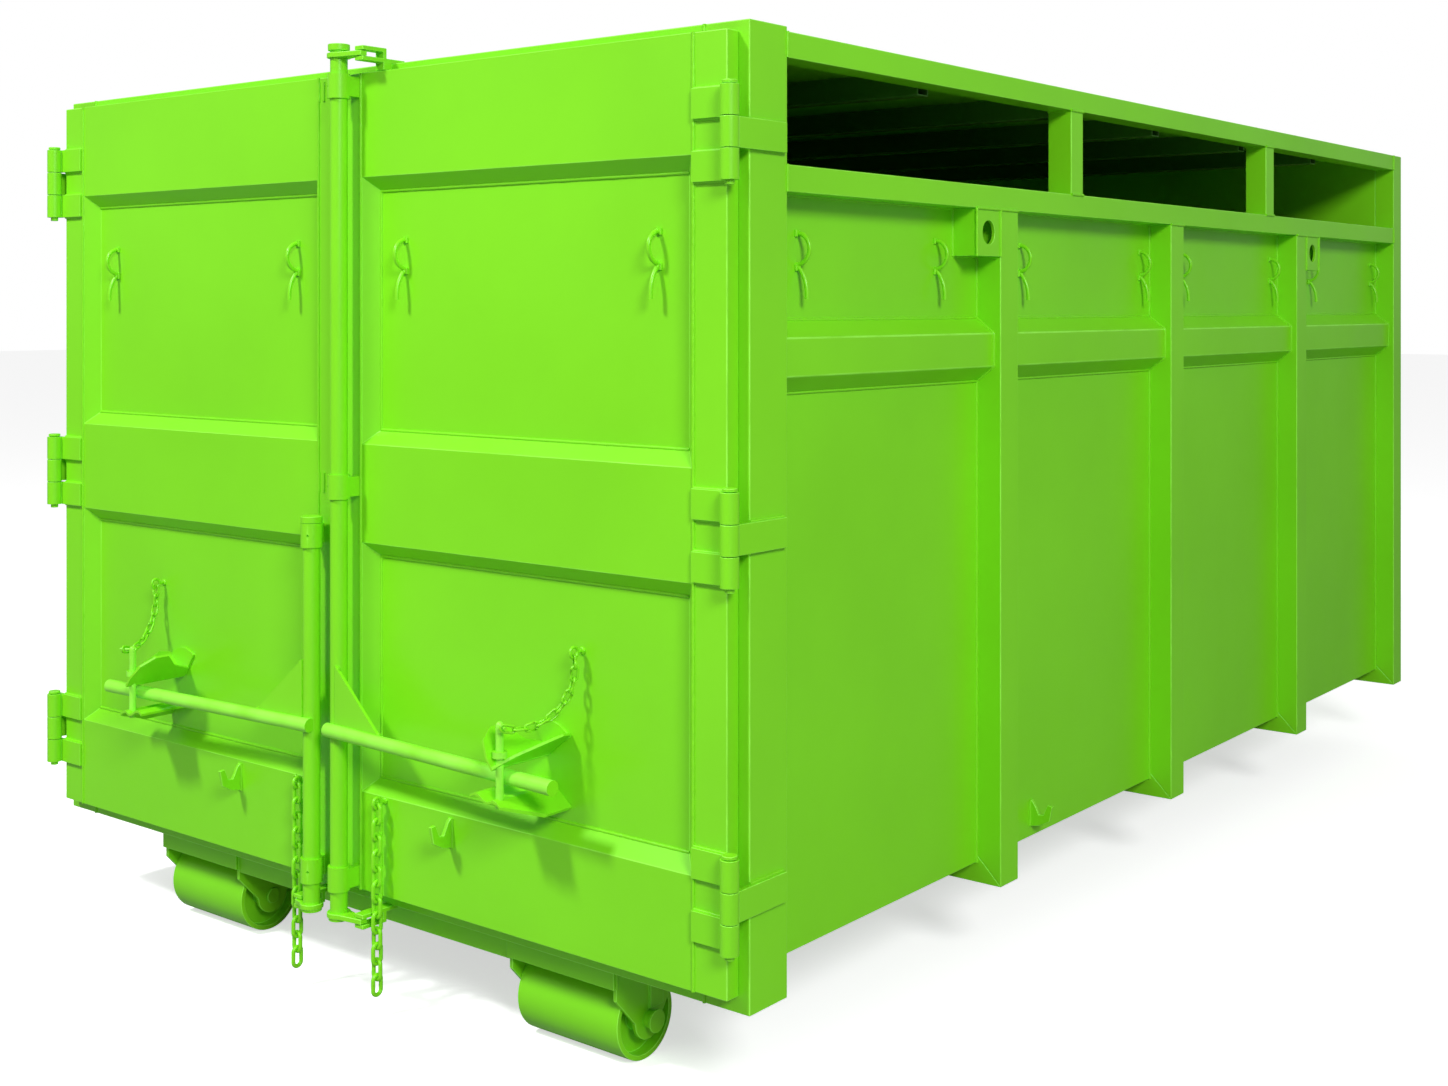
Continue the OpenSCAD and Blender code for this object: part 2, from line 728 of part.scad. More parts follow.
module hanging_chain(x) {
    top = chain_z - chain_eye_r + chain_eye_wire / 2 + 0.5;
    for (i = [0:chain_links - 1])
        translate([x, -chain_y, top - chain_pitch / 2 - i * (chain_pitch - 0.6)])
            rotate([0, 0, i % 2 == 0 ? 0 : 90]) link(chain_wire, chain_pitch, link_w);
}

module right_hanging_chain() color([0.5, 0.9, 0.18]) placed() hanging_chain(chain_x[0]);

module left_hanging_chain() color([0.5, 0.9, 0.18]) placed() side(-1) hanging_chain(chain_x[1]);

// The pin chain runs along an arc from the pin's cross bar up to its eye; a link is a chord.
module pin_chain() {
    step = pin_chain_sag / pin_chain_links;
    translate(pin_chain_start) rotate([0, 0, pin_chain_heading]) for (i = [0:pin_chain_links - 1]) {
        a = pin_chain_tilt + (i + 0.5) * step;
        reach = pin_chain_r * cos(step / 2);
        translate([pin_chain_r * -sin(pin_chain_tilt) + reach * sin(a) - 3.6 * cos(a) * (i == 0 ? 1 : 0),
            0, pin_chain_r * cos(pin_chain_tilt) - reach * cos(a)])
            rotate([0, 90 - a, 0]) rotate([0, 0, i % 2 == 0 ? 0 : 90])
                link(pin_chain_wire, pin_chain_pitch - 0.6 + (i == 0 ? 3 : 0), 21);
    }
}

module right_pin_chain() color([0.5, 0.9, 0.18]) placed() pin_chain();

module left_pin_chain() color([0.5, 0.9, 0.18]) placed() side(-1) pin_chain();

// A welded eye: a stem from the surface at y and a ring in the YZ plane.
module eye(x, y, z, reach, wire, r) {
    translate([x, -reach, z]) rotate([0, 90, 0])
        rotate_extrude($fn = 32) translate([r, 0]) circle(d = wire, $fn = 24);
    translate([x, r - reach, z]) rotate([-90, 0, 0]) cylinder(d = wire, h = reach - r + y);
}

module chain_eyes(x) {
    eye(x, -door_t, chain_z, chain_y, chain_eye_wire, chain_eye_r);
    eye(catch_x + eye_x, recess_y, eye_z, eye_reach, eye_wire, 2 * pin_chain_wire);
}

module right_chain_eyes() color([0.5, 0.9, 0.18]) placed() chain_eyes(chain_x[0]);

module left_chain_eyes() color([0.5, 0.9, 0.18]) placed() side(-1) chain_eyes(chain_x[1]);

/* ---------- hooks ---------- */

// A notched chain hook: outline of reach (X) and height (Y).
module notch_outline() {
    polygon([[0, 0], [30, 6], [58, 22], [66, 62], [52, 64], [40, 36], [26, 34],
        [12, 62], [4, 70], [0, 70]]);
}

module door_chain_hook() {
    translate([405, -door_t, 198]) rotate([90, 0, -90]) linear_extrude(10) notch_outline();
}

module right_chain_hook() color([0.45, 0.8, 0.16]) placed() door_chain_hook();

module left_chain_hook() color([0.45, 0.8, 0.16]) placed() side(-1) door_chain_hook();

module side_chain_hooks() color([0.4, 0.74, 0.15]) placed() both_sides()
    translate([wall_x, rib_y[0] + rib_w + 200, 78]) rotate([90, 0, 0]) linear_extrude(10)
        notch_outline();

// A bent tarp hook on a wall in the XZ plane that faces +X.
module tarp_hook() {
    r = 35;
    leg_r = 85;
    translate([0, 0, tarp_z]) rotate([90, 0, 0]) rotate([0, 0, -90])
        rotate_extrude(angle = 180) translate([r, 0]) circle(d = tarp_rod, $fn = 24);
    intersection() {
        translate([28 - leg_r, 0, tarp_z - 98]) rotate([90, 0, 0])
            rotate_extrude(angle = 60) translate([leg_r, 0]) circle(d = tarp_rod, $fn = 24);
        box([0, -r, tarp_z - 2 * leg_r], [leg_r, r, tarp_z]);
    }
    translate([28, 0, tarp_z - 110]) cylinder(d = tarp_rod, h = 12, $fn = 24);
}

module side_tarp_hooks() color([0.45, 0.8, 0.16]) placed() both_sides() {
    starts = concat([post_l], [for (y = rib_y) y + rib_w]);
    ends = concat(rib_y, [end_post_y]);
    for (i = [0:3], y = [starts[i] + 130, ends[i] - (i == 0 ? 200 : 70)])
        translate([wall_x, i == 3 && y < starts[3] + 131 ? y + 80 : y, 0]) tarp_hook();
}

module door_tarp_hooks() {
    for (x = [205, 1010]) translate([x, recess_y, 0]) rotate([0, 0, -90]) tarp_hook();
}

module right_door_tarp_hooks() color([0.45, 0.8, 0.16]) placed() door_tarp_hooks();

module left_door_tarp_hooks() color([0.45, 0.8, 0.16]) placed() side(-1) door_tarp_hooks();

// A lug box: a folded box under the sill rail with a hole in its face.
module lug(y) {
    difference() {
        box([wall_x, y, sill_rail_z - lug_w], [half_w, y + lug_w, sill_rail_z]);
        box([wall_x - e, y + lug_t, sill_rail_z - lug_w + lug_t],
            [half_w - lug_t, y + lug_w - lug_t, sill_rail_z - lug_t]);
        translate([half_w - 2 * lug_t, y + lug_w / 2, sill_rail_z - lug_w / 2]) rotate([0, 90, 0])
            cylinder(d = lug_hole_d, h = 3 * lug_t);
    }
}

module lug_boxes() color([0.48, 0.87, 0.17]) placed() {
    lug(rib_y[0] - lug_w);
    lug(rib_y[2] + rib_w);
}

main_rails();
cross_members();
floor_plate();
right_side_wall();
left_side_wall();
right_side_bands();
left_side_bands();
right_side_ribs();
left_side_ribs();
rear_corner_posts();
front_corner_posts();
rear_header();
rear_sill();
top_rails();
window_sill_rail();
window_posts();
roof_sheet();
roof_bows();
front_wall();
front_wall_beams();
hook_cheeks();
hook_bar();
front_feet();
roller_cross_beam();
roller_brackets();
roller_axles();
right_roller();
left_roller();
post_hinge_straps();
hinge_pins();
side_tarp_hooks();
lug_boxes();
side_chain_hooks();
lock_keepers();
right_door_panel();
left_door_panel();
right_door_stiles();
left_door_stiles();
right_hinge_leaves();
left_hinge_leaves();
right_rod_sleeves();
left_rod_sleeves();
right_catch_plates();
left_catch_plates();
right_chain_eyes();
left_chain_eyes();
right_chain_hook();
left_chain_hook();
right_door_tarp_hooks();
left_door_tarp_hooks();
right_lock_rod();
left_lock_rod();
right_handle();
left_handle();
right_safety_pin();
left_safety_pin();
right_pin_chain();
left_pin_chain();
right_hanging_chain();
left_hanging_chain();
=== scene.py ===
"""Looks of a hook-lift roll-off container: rounded steel, weld beads, paint and a studio stage."""

import json
import math

import bmesh
import bpy
from bpy.props import FloatProperty, FloatVectorProperty, IntProperty, PointerProperty
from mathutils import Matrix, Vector


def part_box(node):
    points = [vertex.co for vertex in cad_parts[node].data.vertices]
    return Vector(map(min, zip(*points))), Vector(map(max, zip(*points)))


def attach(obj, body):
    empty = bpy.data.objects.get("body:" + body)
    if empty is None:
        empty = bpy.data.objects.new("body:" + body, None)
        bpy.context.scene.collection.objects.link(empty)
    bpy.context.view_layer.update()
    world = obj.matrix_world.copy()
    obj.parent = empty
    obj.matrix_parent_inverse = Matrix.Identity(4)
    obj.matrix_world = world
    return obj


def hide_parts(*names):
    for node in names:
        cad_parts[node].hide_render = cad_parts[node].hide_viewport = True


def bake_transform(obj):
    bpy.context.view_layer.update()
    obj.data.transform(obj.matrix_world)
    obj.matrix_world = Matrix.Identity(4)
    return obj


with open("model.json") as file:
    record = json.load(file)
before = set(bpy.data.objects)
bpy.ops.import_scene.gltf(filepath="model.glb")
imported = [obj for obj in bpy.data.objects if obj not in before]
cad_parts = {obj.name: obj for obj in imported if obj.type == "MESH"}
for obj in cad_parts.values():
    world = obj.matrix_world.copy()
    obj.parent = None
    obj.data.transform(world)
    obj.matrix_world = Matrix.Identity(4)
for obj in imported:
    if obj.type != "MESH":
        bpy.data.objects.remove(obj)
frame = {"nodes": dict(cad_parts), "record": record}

bl_info = {
    "name": "Hook-lift container",
    "version": (1, 0, 0),
    "blender": (4, 5, 0),
    "location": "View3D > Sidebar > Container",
    "description": "Builds the painted container around its CAD frame",
    "category": "Object",
}

BODIES = frame["record"]["behaviour"]["bodies"]
SLOT_OF = {part["node"]: part["material_slot"] for part in frame["record"]["subparts"]}
SIDES = {"right": 1, "left": -1}

# Nodes made of round rod or wire: they are smoothed but get no rounded edges.
WIRE_NODES = ("hanging_chain", "pin_chain", "tarp_hooks", "chain_eyes")
# Nodes of folded sheet or rolled section, with wider rounded edges than cut plate.
FOLDED_NODES = ("wall", "bands", "ribs", "posts", "header", "sill", "rails", "rail", "panel",
                "stiles", "beams", "bows", "beam")
# Two vertices closer than this are one corner, in metres.
MERGE_DIST = 1e-5
# Faces that turn by less than this belong to one flat face.
FLAT_ANGLE = math.radians(0.5)
# Edges that turn by more than this are sharp and get rounded.
SHARP_ANGLE = math.radians(32)
# A face is a strip of a rounded edge if it is narrower than this share of the bevel's width.
STRIP_SHARE = 0.95

# Scale and detail of the noise behind each unevenness of the enamel, from slow to fine; the fourth
# breaks up the edges painted lighter, partly as wear and partly as a painted highlight.
DRIFT, WAVES, SHEEN, WEAR_AND_HIGHLIGHT, PEEL = (1.6, 6), (2.2, 1), (5, 4), (9, 3), (320, 2)
# Sheet waves of the smaller pieces, which are stiffer than the walls and doors.
STIFF_WAVES = 0.02

# The sizes from here on place the seams and are in metres.
# Part of a pressed band's height that each of its slopes takes up.
BAND_SLOPE = 0.2375
# Depth of a tarp hook's two welds below its highest point.
HOOK_WELDS = (0.004, 0.079)
# Half width of a tarp hook weld, and how far it goes below and above its middle.
HOOK_HALF, HOOK_BELOW, HOOK_ABOVE = 0.005, 0.009, 0.005
# Heights of three door band edges above the door's lower edge, and of the top band.
DOOR_BANDS, TOP_BAND = (0.241, 0.850, 1.091), 0.255
# Width of the slope around a door recess, and the seam's distance from the panel's sides.
RECESS_SLOPE, RECESS_SIDE = 0.034, 0.038
# A roller bracket's front plate: height and thickness; and its stop plate's thickness.
GUARD_H, GUARD_T, STOP_T = 0.052, 0.01, 0.006
# Thickness of a hook cheek.
HOOK_CHEEK_T = 0.015
# Sides of a rod sleeve's mounting block, from the sleeve's edge, and its distance from the ends.
SLEEVE_BLOCK, SLEEVE_INSET = (0.020, 0.001), 0.006
# Radius of the weld around a chain eye.
EYE_WELD = 0.006
# Handle bar's diameter, and the rod's side from the sleeve's far edge.
BAR_D, ROD_SIDE = 0.034, 0.048
# Gusset of the handle: offset from the rod's middle, length, slant over its length, blunt tip.
GUSSET_Y, GUSSET_L, GUSSET_SLANT, GUSSET_TIP = 0.018, 0.16, 0.008, 0.006
# Depth to which a few beads are sunk into the steel.
SUNK = 0.001

# Half side of the square floor.
FLOOR_HALF = 60
# Colour of the floor in bounced light and for the camera, and its glow for the camera.
FLOOR_BOUNCED, FLOOR_SEEN, FLOOR_GLOW = (0.3, 0.31, 0.3, 1), (0.95, 0.95, 0.95, 1), 0.6
# Each lamp's place, target, size and power.
LAMPS = {"Key": ((-2.4, -7.6, 8.0), (0, -2, 1), 1.0, 600),
         "Side": ((9.0, -7.0, 6.5), (1, -1, 1), 2.6, 760)}


# ---------------------------------------------------------------- settings


class PaintSettings(bpy.types.PropertyGroup):
    """Colour and gloss of the enamel, and the painted shade of its inside."""

    lime: FloatVectorProperty(
        name="Lime", description="Colour of the enamel", subtype="COLOR", size=3,
        min=0, max=1, default=(0.225, 0.76, 0.011),
    )
    # A darker copy of the lime: painted shade for the inside of the container.
    painted_shade: FloatVectorProperty(
        name="Shade", description="Enamel inside the container", subtype="COLOR", size=3,
        min=0, max=1, default=(0.05, 0.2, 0.012),
    )
    roughness: FloatProperty(
        name="Roughness", description="Mean roughness of the enamel", min=0, max=1, default=0.36,
    )
    peel: FloatProperty(
        name="Orange peel", description="Strength of the fine paint texture", min=0, max=1,
        default=0.05,
    )
    waves: FloatProperty(
        name="Sheet waves", description="Strength of the slow waviness of the sheets", min=0,
        max=1, default=0.10,
    )


class SteelSettings(bpy.types.PropertyGroup):
    """Rounded edges of the steel parts."""

    fold: FloatProperty(
        name="Fold radius", description="Rounding of folded sheet and section edges",
        unit="LENGTH", min=0.0005, max=0.01, default=0.005,
    )
    edge: FloatProperty(
        name="Edge radius", description="Rounding of cut plate edges", unit="LENGTH",
        min=0.0002, max=0.004, default=0.0015,
    )
    segments: IntProperty(
        name="Segments", description="Steps around each rounded edge", min=1, max=4, default=2,
    )


class WeldSettings(bpy.types.PropertyGroup):
    """Weld beads along the seams."""

    radius: FloatProperty(
        name="Bead radius", description="Radius of a weld bead", unit="LENGTH", min=0.001,
        max=0.008, default=0.0042,
    )
    step: FloatProperty(
        name="Step", description="Spacing of the points along a bead", unit="LENGTH",
        min=0.002, max=0.02, default=0.005,
    )
    ripple: FloatProperty(
        name="Ripple", description="Unevenness of a bead", unit="LENGTH", min=0, max=0.004,
        default=0.0026,
    )


class StageSettings(bpy.types.PropertyGroup):
    """Camera and studio."""

    front: FloatProperty(
        name="Front light", description="Strength of the sky in front of the doors", min=0,
        max=5, default=0.32,
    )
    back: FloatProperty(
        name="Back light", description="Strength of the sky behind the container", min=0,
        max=5, default=0.34,
    )
    heading: FloatProperty(
        name="Heading", description="Turn of the camera to the left of the +Y axis",
        subtype="ANGLE", default=math.radians(38.32),
    )
    place: FloatVectorProperty(
        name="Place", description="Position of the camera", subtype="XYZ", unit="LENGTH",
        size=3, default=(3.476, -4.992, 1.709),
    )
    lens: FloatProperty(
        name="Lens", description="Focal length in millimetres on a 36 mm sensor", min=10,
        max=200, default=44.15,
    )
    drop: FloatProperty(
        name="Drop", description="Downward shift of the lens", min=-0.5, max=0.5, default=0.1635,
    )


# ---------------------------------------------------------------- meshes


def new_object(name, mesh, body, replaced=()):
    """Links a mesh as a finished piece that rides on a body."""
    piece = bpy.data.objects.new(name, mesh)
    bpy.context.scene.collection.objects.link(piece)
    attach(piece, body)
    if replaced:
        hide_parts(*replaced)
    return piece


def baked(piece):
    """The piece's evaluated mesh, with its modifiers applied."""
    bpy.context.view_layer.update()
    evaluated = piece.evaluated_get(bpy.context.evaluated_depsgraph_get())
    return bpy.data.meshes.new_from_object(evaluated)


def merged_mesh(node):
    """A CAD node's mesh with its loose triangles joined into whole faces."""
    work = bmesh.new()
    work.from_mesh(frame["nodes"][node].data)
    bmesh.ops.remove_doubles(work, verts=work.verts, dist=MERGE_DIST)
    bmesh.ops.dissolve_limit(
        work, angle_limit=FLAT_ANGLE, verts=work.verts, edges=work.edges
    )
    for face in work.faces:
        face.smooth = True
    for edge in work.edges:
        edge.smooth = edge.calc_face_angle(0) < SHARP_ANGLE
    mesh = bpy.data.meshes.new(node + "_mesh")
    work.to_mesh(mesh)
    work.free()
    return mesh


def rounded(name, mesh, width, segments):
    """The mesh with its sharp edges rounded."""
    piece = bpy.data.objects.new(name, mesh)
    bpy.context.scene.collection.objects.link(piece)
    bevel = piece.modifiers.new("Rounded edges", "BEVEL")
    bevel.width = width
    bevel.segments = segments
    bevel.limit_method = "ANGLE"
    bevel.angle_limit = SHARP_ANGLE
    bevel.harden_normals = True
    result = baked(piece)
    bpy.data.objects.remove(piece)
    mark_edges(result, width)
    return result


def mark_edges(mesh, width):
    """Stores 1 on the narrow faces of rounded edges, which the enamel paints lighter, partly as
    worn paint and partly as a painted highlight.
    """
    narrow = []
    for face in mesh.polygons:
        points = [mesh.vertices[i].co for i in face.vertices]
        around = sum((a - b).length for a, b in zip(points, points[1:] + points[:1]))
        worn_and_lit_edge = 2 * face.area < STRIP_SHARE * width * around
        narrow += [float(worn_and_lit_edge)] * len(points)
    edge = mesh.attributes.new("edge", "FLOAT", "CORNER")
    edge.data.foreach_set("value", narrow)


def islands(node):
    """(lowest corner, highest corner) of each separate solid in a node, from low to high."""
    work = bmesh.new()
    work.from_mesh(frame["nodes"][node].data)
    bmesh.ops.remove_doubles(work, verts=work.verts, dist=MERGE_DIST)
    left = set(work.verts)
    boxes = []
    while left:
        stack = [left.pop()]
        found = list(stack)
        while stack:
            for edge in stack.pop().link_edges:
                for vert in edge.verts:
                    if vert in left:
                        left.remove(vert)
                        stack.append(vert)
                        found.append(vert)
        boxes.append(tuple(
            Vector([pick(v.co[i] for v in found) for i in range(3)]) for pick in (min, max)
        ))
    work.free()
    return sorted(boxes, key=lambda box: [round(c, 3) for c in box[0]])


# ---------------------------------------------------------------- paint


def enamel(name, colour, roughness, peel, waves):
    """Semi-gloss enamel with slow colour drift, sheet waves, orange peel and lighter edges that
    are partly wear and partly a painted highlight.
    """
    material = bpy.data.materials.new(name)
    material.use_nodes = True
    nodes = material.node_tree.nodes
    link = material.node_tree.links.new
    shader = nodes["Principled BSDF"]
    place = nodes.new("ShaderNodeTexCoord").outputs["Object"]

    def noise(scale, detail):
        texture = nodes.new("ShaderNodeTexNoise")
        texture.inputs["Scale"].default_value = scale
        texture.inputs["Detail"].default_value = detail
        link(place, texture.inputs["Vector"])
        return texture.outputs["Fac"]

    tone = nodes.new("ShaderNodeValToRGB")
    dark, light = tone.color_ramp.elements
    dark.position, light.position = 0.3, 0.7
    dark.color = (*[c * 0.94 for c in colour], 1)
    light.color = (*[min(1, c * 1.04) for c in colour], 1)
    link(noise(*DRIFT), tone.inputs["Fac"])
    # Rounded-edge strips, lightened in patches: partly worn paint, partly a painted highlight.
    worn_and_lit_edge = nodes.new("ShaderNodeAttribute")
    worn_and_lit_edge.attribute_name = "edge"
    worn_and_highlighted = nodes.new("ShaderNodeMath")
    worn_and_highlighted.operation = "MULTIPLY"
    link(worn_and_lit_edge.outputs["Fac"], worn_and_highlighted.inputs[0])
    patchy = nodes.new("ShaderNodeMapRange")
    for label, value in (("From Min", 0.3), ("From Max", 0.6), ("To Min", 0.25), ("To Max", 0.8)):
        patchy.inputs[label].default_value = value
    link(noise(*WEAR_AND_HIGHLIGHT), patchy.inputs["Value"])
    link(patchy.outputs["Result"], worn_and_highlighted.inputs[1])
    edged = nodes.new("ShaderNodeMix")
    edged.data_type = "RGBA"
    link(worn_and_highlighted.outputs["Value"], edged.inputs["Factor"])
    link(tone.outputs["Color"], edged.inputs["A"])
    # The lighter edge colour, a painted highlight as well as worn paint.
    edged.inputs["B"].default_value = (*[min(1, c * 1.25 + 0.07) for c in colour], 1)
    link(edged.outputs["Result"], shader.inputs["Base Color"])

    gloss = nodes.new("ShaderNodeMapRange")
    gloss.inputs["To Min"].default_value = roughness - 0.07
    gloss.inputs["To Max"].default_value = roughness + 0.09
    link(noise(*SHEEN), gloss.inputs["Value"])
    link(gloss.outputs["Result"], shader.inputs["Roughness"])

    slow = nodes.new("ShaderNodeBump")
    slow.inputs["Strength"].default_value = waves
    slow.inputs["Distance"].default_value = 0.02
    link(noise(*WAVES), slow.inputs["Height"])
    fine = nodes.new("ShaderNodeBump")
    fine.inputs["Strength"].default_value = peel
    fine.inputs["Distance"].default_value = 0.001
    link(noise(*PEEL), fine.inputs["Height"])
    link(slow.outputs["Normal"], fine.inputs["Normal"])
    link(fine.outputs["Normal"], shader.inputs["Normal"])
    shader.inputs["Specular IOR Level"].default_value = 0.4
    shader.inputs["Coat Weight"].default_value = 0.08
    shader.inputs["Coat Roughness"].default_value = 0.15
    return material


def paint_for(slot):
    """The enamel of one material slot, made when it is first asked for."""
    found = bpy.data.materials.get(slot + "_enamel")
    if found:
        return found
    paint = bpy.context.scene.container_paint
    # The inside gets the darker copy of the lime as painted shade; all else gets the lime.
    colour = paint.painted_shade if slot == "paint_inside" else paint.lime
    waves = paint.waves if slot in ("paint_body", "paint_doors") else STIFF_WAVES
    return enamel(slot + "_enamel", tuple(colour), paint.roughness, paint.peel, waves)


# ---------------------------------------------------------------- weld seams


def line(*points):
    """One seam through the points, as a list of seams."""
    return [tuple(Vector(p) for p in points)]


def upright(x, y, z0, z1):
    """A seam along Z."""
    return line((x, y, z0), (x, y, z1))


def across(x0, x1, y, z):
    """A seam along X."""
    return line((x0, y, z), (x1, y, z))


def along(x, y0, y1, z):
    """A seam along Y."""
    return line((x, y0, z), (x, y1, z))


def ring(middle, radius, axis, steps):
    """A closed round seam across one axis, which is 0 for X and 1 for Y."""
    points = []
    for i in range(steps + 1):
        turn = math.tau * i / steps
        offset = [radius * math.cos(turn), radius * math.sin(turn)]
        offset.insert(axis, 0)
        points.append([m + o for m, o in zip(middle, offset)])
    return line(*points)


def mirrored(seams, side):
    """The seams moved to one side, 1 or -1."""
    return [tuple(Vector((side * p.x, p.y, p.z)) for p in seam) for seam in seams]


def weld_tree():
    """Geometry nodes that turn seam lines into uneven weld beads."""
    tree = bpy.data.node_groups.new("Weld beads", "GeometryNodeTree")
    face = tree.interface
    face.new_socket("Geometry", in_out="INPUT", socket_type="NodeSocketGeometry")
    for label in ("Radius", "Step", "Ripple"):
        face.new_socket(label, in_out="INPUT", socket_type="NodeSocketFloat")
    face.new_socket("Material", in_out="INPUT", socket_type="NodeSocketMaterial")
    face.new_socket("Geometry", in_out="OUTPUT", socket_type="NodeSocketGeometry")
    nodes, link = tree.nodes, tree.links.new
    given = nodes.new("NodeGroupInput").outputs

    curve = nodes.new("GeometryNodeMeshToCurve")
    link(given["Geometry"], curve.inputs["Mesh"])
    steps = nodes.new("GeometryNodeResampleCurve")
    steps.mode = "LENGTH"
    link(curve.outputs["Curve"], steps.inputs["Curve"])
    link(given["Step"], steps.inputs["Length"])

    profile = nodes.new("GeometryNodeCurvePrimitiveCircle")
    profile.inputs["Resolution"].default_value = 7
    link(given["Radius"], profile.inputs["Radius"])
    bead = nodes.new("GeometryNodeCurveToMesh")
    bead.inputs["Fill Caps"].default_value = True
    link(steps.outputs["Curve"], bead.inputs["Curve"])
    link(profile.outputs["Curve"], bead.inputs["Profile Curve"])

    lumps = nodes.new("ShaderNodeTexNoise")
    lumps.inputs["Scale"].default_value = 95
    lumps.inputs["Detail"].default_value = 2
    centred = nodes.new("ShaderNodeMath")
    centred.operation = "SUBTRACT"
    centred.inputs[1].default_value = 0.5
    link(lumps.outputs["Fac"], centred.inputs[0])
    height = nodes.new("ShaderNodeMath")
    height.operation = "MULTIPLY"
    link(centred.outputs["Value"], height.inputs[0])
    link(given["Ripple"], height.inputs[1])
    push = nodes.new("ShaderNodeVectorMath")
    push.operation = "SCALE"
    link(nodes.new("GeometryNodeInputNormal").outputs["Normal"], push.inputs[0])
    link(height.outputs["Value"], push.inputs["Scale"])
    move = nodes.new("GeometryNodeSetPosition")
    link(bead.outputs["Mesh"], move.inputs["Geometry"])
    link(push.outputs["Vector"], move.inputs["Offset"])

    whole = nodes.new("GeometryNodeRealizeInstances")
    link(move.outputs["Geometry"], whole.inputs["Geometry"])
    coat = nodes.new("GeometryNodeSetMaterial")
    link(whole.outputs["Geometry"], coat.inputs["Geometry"])
    link(given["Material"], coat.inputs["Material"])
    link(coat.outputs["Geometry"], nodes.new("NodeGroupOutput").inputs["Geometry"])
    return tree


def weld_piece(name, seams, body, slot):
    """Lays beads along the seams and adds them as a piece on a body."""
    settings = bpy.context.scene.container_weld
    mesh = bpy.data.meshes.new(name + "_seams")
    points = [point for seam in seams for point in seam]
    edges, first = [], 0
    for seam in seams:
        edges += [(first + i, first + i + 1) for i in range(len(seam) - 1)]
        first += len(seam)
    mesh.from_pydata(points, edges, [])
    guide = bpy.data.objects.new(name + "_guide", mesh)
    bpy.context.scene.collection.objects.link(guide)
    beads = guide.modifiers.new("Weld beads", "NODES")
    beads.node_group = bpy.data.node_groups.get("Weld beads") or weld_tree()
    values = {
        "Radius": settings.radius, "Step": settings.step, "Ripple": settings.ripple,
        "Material": paint_for(slot),
    }
    for item in beads.node_group.interface.items_tree:
        if item.in_out == "INPUT" and item.name in values:
            beads[item.identifier] = values[item.name]
    result = baked(guide)
    bpy.data.objects.remove(guide)
    result.name = name + "_mesh"
    for polygon in result.polygons:
        polygon.use_smooth = True
    return new_object(name, result, body)


def turned(boxes, side):
    """The boxes of one side, turned so that this side faces +X."""
    if side < 0:
        boxes = [(Vector((-b.x, a.y, a.z)), Vector((-a.x, b.y, b.z))) for a, b in boxes]
    return [box for box in boxes if box[0].x > 0]


def wall_seams(name, side):
    """Seams of one side wall, laid out on the +X side."""
    low, high = turned(islands(name + "_side_wall"), side)[0]
    wall_x = high.x
    ribs = turned(islands(name + "_side_ribs"), side)
    top = ribs[0][1].z
    seams = along(wall_x, low.y, high.y, top)
    for y in (low.y, high.y):
        seams += upright(wall_x, y, low.z, top)
    bands = turned(islands(name + "_side_bands"), side)
    for a, b in bands:
        seams += along(wall_x, a.y, b.y, b.z) + along(wall_x, a.y, b.y, a.z)
        rise = (b.z - a.z) * BAND_SLOPE
        for y in (a.y, b.y):
            seams += line((wall_x, y, a.z), (b.x, y, a.z + rise), (b.x, y, b.z - rise),
                          (wall_x, y, b.z))
    band_low, band_high = bands[0][0].z, bands[0][1].z
    for a, b in ribs:
        for y in (a.y, b.y):
            seams += upright(wall_x, y, low.z, band_low) + upright(wall_x, y, band_high, top)
        seams += along(b.x, a.y, b.y, top)
    for a, b in turned(islands("side_tarp_hooks"), side):
        middle = (a.y + b.y) / 2
        for z in (b.z - HOOK_WELDS[0], b.z - HOOK_WELDS[1]):
            for y in (middle - HOOK_HALF, middle + HOOK_HALF):
                seams += upright(wall_x + 2 * SUNK, y, z - HOOK_BELOW, z + HOOK_ABOVE)
    for a, b in turned(islands("side_chain_hooks"), side):
        seams += upright(wall_x, a.y, a.z, b.z) + upright(wall_x, b.y, a.z, b.z)
    return seams


def window_seams():
    """Seams around the window posts, the rails' ends and the lug boxes."""
    seams = []
    for a, b in islands("window_posts"):
        for z in (a.z, b.z):
            seams += along(b.x, a.y, b.y, z)
            for y in (a.y, b.y):
                seams += line((a.x, y, z), (b.x, y, z))
    for node in ("window_sill_rail", "top_rails"):
        a, b = islands(node)[-1]
        for y in (a.y, b.y):
            seams += upright(b.x, y, a.z, b.z)
    for a, b in islands("lug_boxes"):
        seams += upright(b.x, a.y, a.z, b.z) + upright(b.x, b.y, a.z, b.z)
        seams += upright(a.x, a.y, a.z, b.z) + upright(a.x, b.y, a.z, b.z)
        seams += along(a.x, a.y, b.y, a.z) + along(b.x, a.y, b.y, b.z)
    return seams


def frame_seams():
    """Seams of the rear frame and the hinge straps, on the +X side."""
    low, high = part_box("rear_header")
    post = islands("rear_corner_posts")[-1]
    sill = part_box("rear_sill")
    seams = upright(high.x, low.y, low.z, high.z)
    seams += upright(sill[1].x, sill[0].y, sill[0].z, sill[1].z)
    for a, b in islands("post_hinge_straps"):
        if a.x > 0:
            for z in (a.z, b.z):
                seams += along(post[1].x, post[0].y, b.y, z)
            seams += upright(post[1].x, b.y, a.z, b.z)
    return seams


